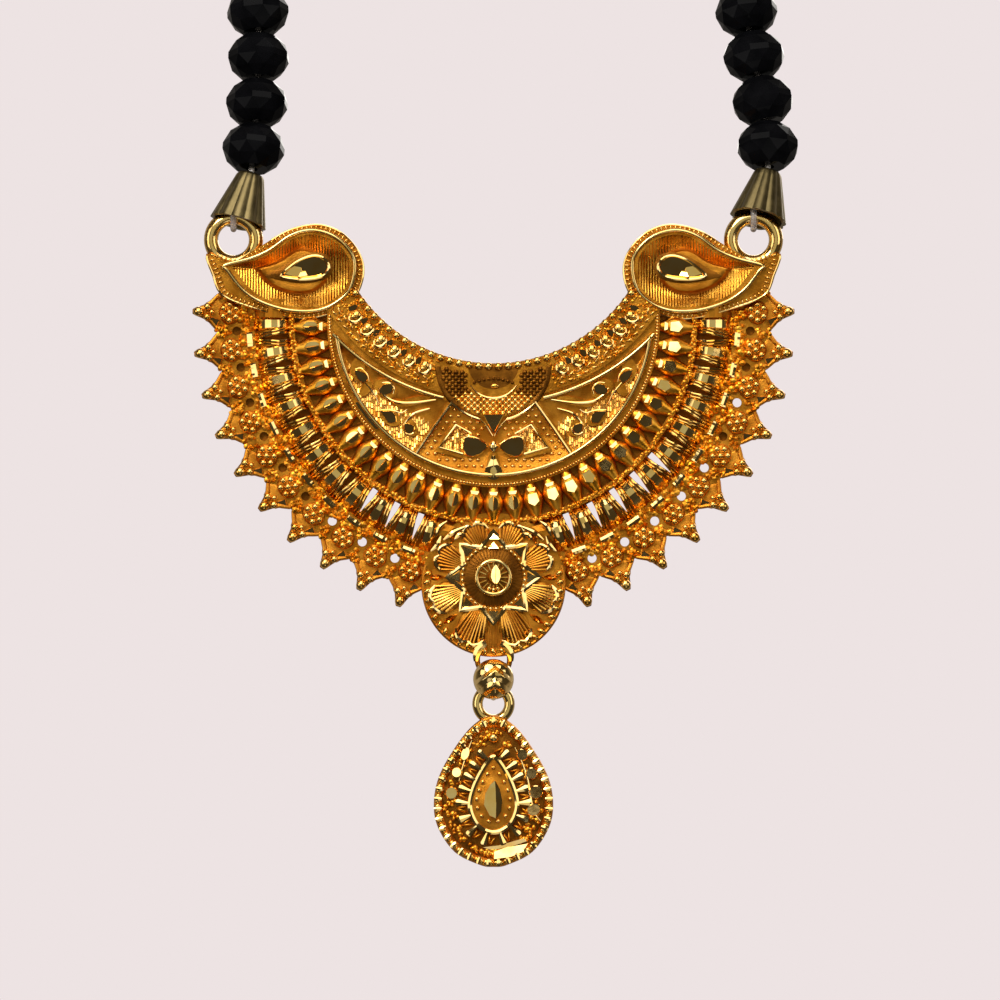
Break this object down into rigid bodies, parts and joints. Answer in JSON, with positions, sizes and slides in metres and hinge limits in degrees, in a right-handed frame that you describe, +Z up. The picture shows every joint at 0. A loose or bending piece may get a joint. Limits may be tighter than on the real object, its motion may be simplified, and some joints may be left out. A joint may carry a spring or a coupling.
{
  "type": "mangalsutra necklace",
  "caption": "Whole necklace of black faceted beads with a gold fan-shaped pendant, a medallion and a hanging teardrop.",
  "frame": {"origin": "middle of the clasp, where the necklace lies on the nape", "axes": "+Z up as it is worn, +X to the viewer's right, the pendant faces -Y"},
  "size_m": [0.1126, 0.128, 0.1561],
  "materials": {
    "gold": "warm yellow gold plate, satin grounds with bright granules and rims",
    "bright_gold": "diamond-cut mirror facets",
    "cone_gold": "polished pale gold plate",
    "black_glass": "opaque black cut glass",
    "nylon": "clear stringing thread"
  },
  "bodies": {
    "root": {"pendant": "gold", "cone_left": "cone_gold", "cone_right": "cone_gold", "beads_left": "black_glass", "beads_right": "black_glass", "thread_left": "nylon", "thread_right": "nylon", "clasp": "cone_gold"},
    "link": {"ball_link": "bright_gold"},
    "drop": {"drop": "gold"}
  },
  "joints": [
    {"name": "link_swing", "type": "hinge", "parent": "root", "child": "link", "pos_m": [0, -0.12285, -0.13837], "axis": [1, 0, 0], "range_deg": [-3, 45]},
    {"name": "drop_swing", "type": "hinge", "parent": "link", "child": "drop", "pos_m": [0, -0.12285, -0.14012], "axis": [0, 1, 0], "range_deg": [-50, 50]}
  ]
}
